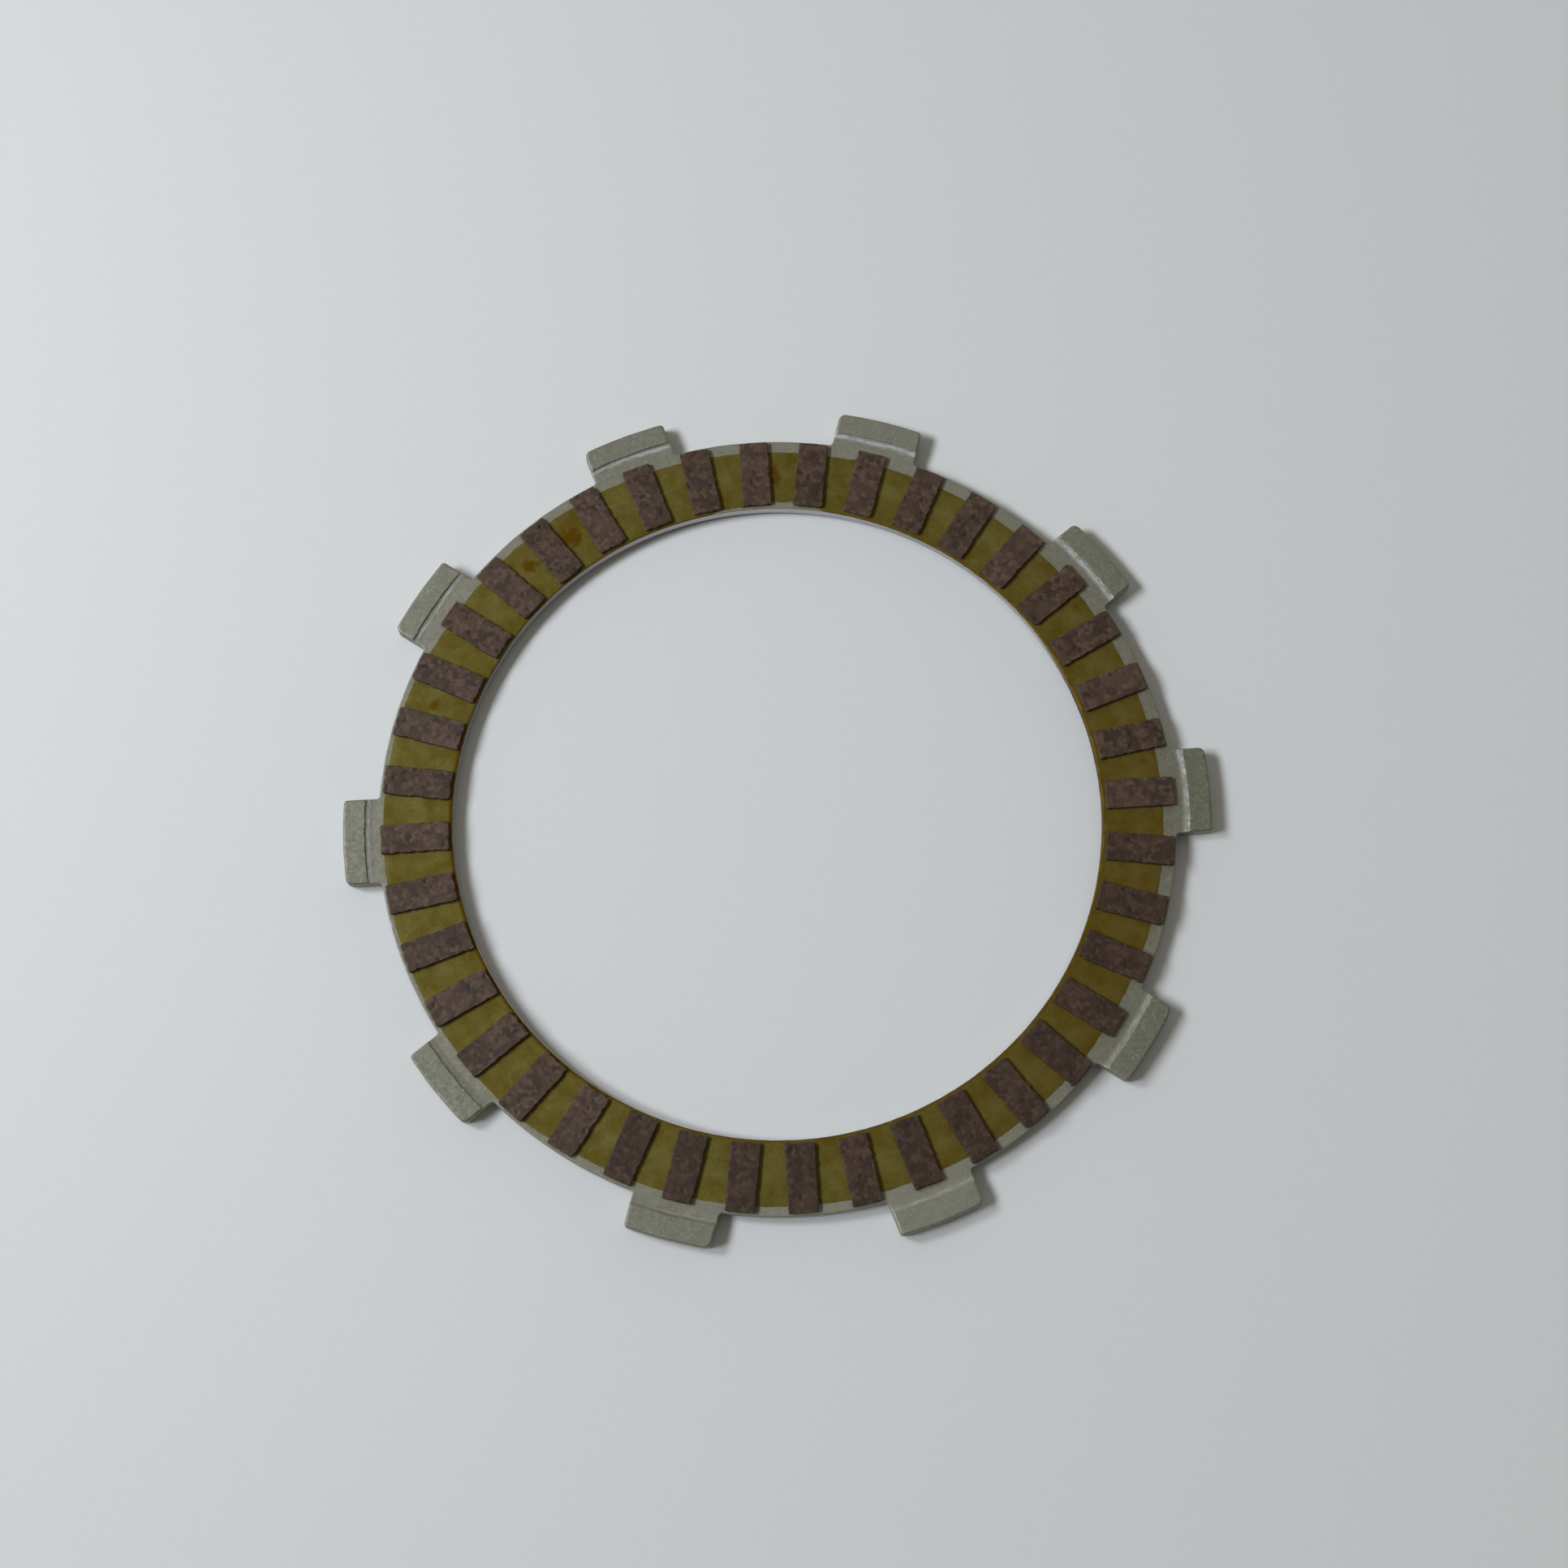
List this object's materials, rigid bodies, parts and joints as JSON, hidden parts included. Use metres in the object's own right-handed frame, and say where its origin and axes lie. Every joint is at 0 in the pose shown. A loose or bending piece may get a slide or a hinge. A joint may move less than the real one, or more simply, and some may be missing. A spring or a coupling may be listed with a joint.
{
  "type": "clutch friction disc",
  "caption": "Flat annular friction disc of a multi-plate wet clutch: an aluminium ring with driving lugs around its rim and a circle of bonded radial friction pads on each face.",
  "frame": {"origin": "on the disc's axis, in its middle plane", "axes": "+Z along the axis, out of the upper face; +X through the middle of one driving lug"},
  "size_m": [0.1256, 0.1228, 0.003],
  "materials": {
    "core": "die-cast, faces turned",
    "bond_film": "cured olive adhesive film",
    "friction_material": "granular cork and rubber"
  },
  "bodies": {
    "root": {"core_plate": "core", "bond_film_top": "bond_film", "bond_film_bottom": "bond_film", "friction_pads_01": "friction_material", "friction_pads_02": "friction_material", "friction_pads_03": "friction_material", "friction_pads_04": "friction_material", "friction_pads_05": "friction_material", "friction_pads_06": "friction_material", "friction_pads_07": "friction_material", "friction_pads_08": "friction_material", "friction_pads_09": "friction_material", "friction_pads_10": "friction_material", "friction_pads_11": "friction_material", "friction_pads_12": "friction_material", "friction_pads_13": "friction_material", "friction_pads_14": "friction_material", "friction_pads_15": "friction_material", "friction_pads_16": "friction_material", "friction_pads_17": "friction_material", "friction_pads_18": "friction_material", "friction_pads_19": "friction_material", "friction_pads_20": "friction_material", "friction_pads_21": "friction_material", "friction_pads_22": "friction_material", "friction_pads_23": "friction_material", "friction_pads_24": "friction_material", "friction_pads_25": "friction_material", "friction_pads_26": "friction_material", "friction_pads_27": "friction_material", "friction_pads_28": "friction_material", "friction_pads_29": "friction_material", "friction_pads_30": "friction_material", "friction_pads_31": "friction_material", "friction_pads_32": "friction_material", "friction_pads_33": "friction_material", "friction_pads_34": "friction_material", "friction_pads_35": "friction_material", "friction_pads_36": "friction_material", "friction_pads_37": "friction_material", "friction_pads_38": "friction_material", "friction_pads_39": "friction_material", "friction_pads_40": "friction_material"}
  },
  "joints": []
}
